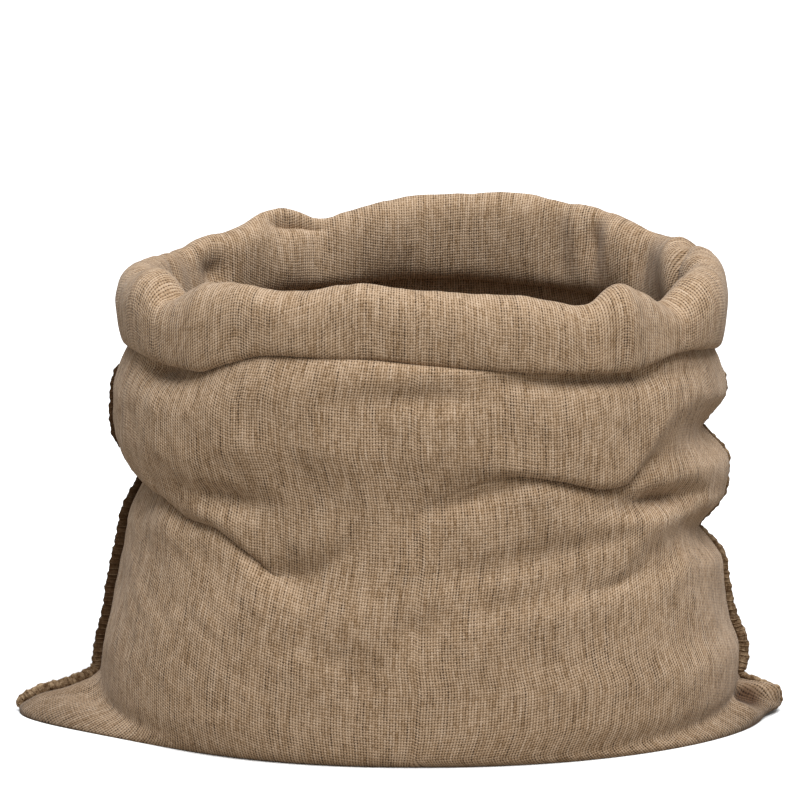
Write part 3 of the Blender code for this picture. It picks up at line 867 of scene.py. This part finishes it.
def makeHessian():
    look = clothLook
    chain = NodeChain("hessian")
    plus, minus, times = chain.plus, chain.minus, chain.times
    across, along, _ = chain.split(chain.add("ShaderNodeUVMap", uv_map="clothLength").outputs[0])

    def clothNoise(name):
        layer, *values = clothPatterns[name]
        return chain.noise(chain.join(across, along, layer), *values)

    def aroundZero(name):
        return minus(clothNoise(name), 0.5)

    def warpNoise(name, yarn, run):
        step, rate, layer, *values = yarnPatterns[name]
        return chain.noise(chain.join(times(yarn, step), times(run, rate), layer), 1.0, *values)

    def weftNoise(name, yarn, run):
        step, rate, layer, *values = yarnPatterns[name]
        return chain.noise(chain.join(times(run, rate), times(yarn, step), layer), 1.0, *values)

    def counted(run, pitch, name):
        # how many yarns lie before this place; they wander a little
        return plus(chain.math("DIVIDE", run, pitch), times(aroundZero(name), look["wander"]))

    u = counted(across, look["pitchAcross"], "warpWander")
    v = counted(along, look["pitchAlong"], "weftWander")
    warpId, weftId = chain.math("FLOOR", u), chain.math("FLOOR", v)
    sinU, sinV = (chain.math("SINE", times(yarns, math.pi)) for yarns in (u, v))
    acrossWarp, acrossWeft = chain.math("ABSOLUTE", sinU), chain.math("ABSOLUTE", sinV)
    over = times(sinU, sinV)
    # a yarn's thickness changes along it
    warpWidth = chain.spread(warpNoise("warpSlub", warpId, along), *look["warpWidth"])
    weftWidth = chain.spread(weftNoise("weftSlub", weftId, across), *look["weftWidth"])
    warpTop = times(chain.math("POWER", acrossWarp, warpWidth),
                    chain.math("MULTIPLY_ADD", over, look["crimp"], look["yarnTop"]))
    weftTop = times(chain.math("POWER", acrossWeft, weftWidth),
                    chain.math("MULTIPLY_ADD", over, -look["crimp"], look["yarnTop"]))
    top = chain.math("MAXIMUM", warpTop, weftTop)
    warpShows = chain.math("GREATER_THAN", warpTop, weftTop)
    # here and there two warps stand apart, which leaves an upright row of small holes
    besideId = chain.math("ROUND", u)
    apart = chain.spread(warpNoise("apart", besideId, along), *look["apart"])
    # colour: each yarn has its own shade, which changes along it
    warpTone = warpNoise("warpTone", warpId, along)
    weftTone = weftNoise("weftTone", weftId, across)
    weftTone = plus(times(weftTone, 1.0 - look["sharedTone"]), times(warpTone, look["sharedTone"]))
    tone = plus(times(warpShows, warpTone), times(minus(1.0, warpShows), weftTone))
    # the wefts lie in the shade where they dip between two warps
    dip = chain.math("POWER", minus(1.0, acrossWarp), look["dipPower"])
    tone = minus(tone, times(dip, look["dipShade"]))
    speck = aroundZero("speck")
    tone = plus(tone, times(speck, look["speckShade"]))
    tone = plus(tone, times(aroundZero("patch"), look["patchShade"]))
    colour = chain.mix(chain.spread(tone, *look["darkToMiddle"]), look["dark"], look["middle"])
    colour = chain.mix(chain.spread(tone, *look["middleToLight"]), colour, look["light"])
    # the weave is more open in some places than in others
    openness = chain.spread(clothNoise("openness"), *look["openness"])
    single = warpNoise("single", besideId, chain.math("ROUND", v))
    openness = times(openness, chain.spread(single, *look["single"]))
    holeTop = plus(times(openness, look["holeTop"]),
                   times(apart, chain.math("MULTIPLY_ADD", openness, *look["apartTop"])))
    depth = chain.math("DIVIDE", minus(top, holeTop), look["holeSoftness"])
    depth = minus(1.0, chain.spread(depth, 0.0, 1.0))
    colour = chain.mix(depth, colour, look["gap"])
    # painted shade darkens the two bottom corners near the floor
    onCloth = chain.add("ShaderNodeTexCoord").outputs["Object"]
    sideways, _, height = chain.split(onCloth)
    low = chain.spread(height, look["cornerShadeHeight"], 0.0)
    corner = chain.spread(chain.math("ABSOLUTE", sideways), look["cornerShadeFrom"], look["cornerShadeTo"])
    colour = chain.paintShade(times(low, corner), colour, look["paintShade"])
    # and painted shade darkens the recessed pocket of the right corner further
    away = chain.add("ShaderNodeVectorMath", operation="DISTANCE")
    chain.put(onCloth, away.inputs[0])
    chain.put(look["pocketAt"], away.inputs[1])
    inside = chain.spread(away.outputs["Value"], look["pocketOuter"], look["pocketInner"])
    colour = chain.paintShade(inside, colour, look["pocketShade"])
    chain.finish(colour, look)
    chain.put(look["sheen"], chain.shader.inputs["Sheen Weight"])
    chain.put(look["sheenRoughness"], chain.shader.inputs["Sheen Roughness"])
    chain.emboss(plus(top, times(speck, look["fuzz"])), look)
    return chain.material


yarnLook = {
    "light": (0.440, 0.325, 0.205),
    "middle": (0.230, 0.152, 0.088),
    "dark": (0.070, 0.036, 0.016),
    # painted shade on the upright parts of the seams: its colour, the heights where it comes in, and how much the
    # left and right seams take
    "seamShade": (0.046, 0.022, 0.009),
    "seamShadeFrom": 0.020,
    "seamShadeTo": 0.060,
    "windingShade": (0.78, 0.22),
    "coreShade": (0.90, 0.35),
    "middleBand": 0.01,
    "broad": (260.0, 3.0, 0.6),
    "fine": (1100.0, 3.0, 0.7),
    "broadShare": 0.6,
    "fineShare": 0.4,
    "darkToMiddle": (0.38, 0.5),
    "middleToLight": (0.5, 0.62),
    "bumpStrength": 0.8,
    "bump": 0.0004,
    "roughness": 0.9,
    "specular": 0.05,
}


def makeYarn(name, leftShade, rightShade):
    look = yarnLook
    chain = NodeChain(name)
    place = chain.add("ShaderNodeTexCoord").outputs["Object"]
    sideways, _, height = chain.split(place)
    fine = chain.noise(place, *look["fine"])
    tone = chain.plus(chain.times(chain.noise(place, *look["broad"]), look["broadShare"]),
                      chain.times(fine, look["fineShare"]))
    colour = chain.mix(chain.spread(tone, *look["darkToMiddle"]), look["dark"], look["middle"])
    colour = chain.mix(chain.spread(tone, *look["middleToLight"]), colour, look["light"])
    # painted shade: the upright part of the left seam is darker than its corner and than the right seam, whose
    # upright part is darkened less
    upright = chain.spread(height, look["seamShadeFrom"], look["seamShadeTo"])
    shadeShare = chain.spread(sideways, -look["middleBand"], look["middleBand"], leftShade, rightShade)
    colour = chain.mix(chain.times(upright, shadeShare), colour, look["seamShade"])
    chain.finish(colour, look)
    chain.emboss(fine, look)
    return chain.material


clothPiece.data.materials.append(makeHessian())
windingYarn = makeYarn("seamYarn", *yarnLook["windingShade"])
seamCore = makeYarn("seamCore", *yarnLook["coreShade"])
for core, yarn in (leftSeam, rightSeam):
    core.data.materials.append(seamCore)
    yarn.data.materials.append(windingYarn)
print("materials made")

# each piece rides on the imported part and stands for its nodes

for piece in (clothPiece, *leftSeam, *rightSeam):
    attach(piece, "root")
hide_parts("sack_cloth")
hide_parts("seam_left")
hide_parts("seam_right")

# floor, light and background

studio = {
    "floorSize": 12.0,
    "floor": (0.95, 0.95, 0.95),
    "floorBounce": (0.31, 0.275, 0.23),
    "roughness": 0.9,
    "specular": 0.0,
    "sky": (1.0, 1.0, 1.0, 1.0),
    "fill": 0.33,
    "key": 3.7,
    "keyFrom": (0.23, -0.74, 1.56),
    "keyAngle": 40.0,
    "top": 0.95,
    "topFrom": (0.0, 0.0, 1.0),
    "topAngle": 90.0,
    "topColour": (0.92, 0.98, 1.08),
}

floorMesh = bmesh.new()
bmesh.ops.create_grid(floorMesh, x_segments=1, y_segments=1, size=studio["floorSize"])
floorData = bpy.data.meshes.new("floor")
floorMesh.to_mesh(floorData)
floorMesh.free()
floorPiece = bpy.data.objects.new("floor", floorData)
bpy.context.scene.collection.objects.link(floorPiece)
# the floor shows almost white and sends less light back to the cloth than that
floorChain = NodeChain("floorPaint")
lightPath = floorChain.add("ShaderNodeLightPath")
floorTint = floorChain.mix(lightPath.outputs["Is Diffuse Ray"], studio["floor"], studio["floorBounce"])
floorChain.finish(floorTint, studio)
floorData.materials.append(floorChain.material)

for lightName in ("key", "top"):
    lightData = bpy.data.lights.new(lightName, "SUN")
    lightData.energy = studio[lightName]
    lightData.angle = math.radians(studio[lightName + "Angle"])
    light = bpy.data.objects.new(lightName, lightData)
    light.rotation_euler = Vector(studio[lightName + "From"]).to_track_quat("Z", "Y").to_euler()
    bpy.context.scene.collection.objects.link(light)
bpy.data.lights["top"].color = studio["topColour"]

world = bpy.data.worlds.new("studioWorld")
world.use_nodes = True
background = world.node_tree.nodes["Background"]
background.inputs["Color"].default_value = studio["sky"]
background.inputs["Strength"].default_value = studio["fill"]
bpy.context.scene.world = world
bpy.context.scene.view_settings.view_transform = "Standard"
bpy.context.scene.view_settings.look = "None"
print("studio made")
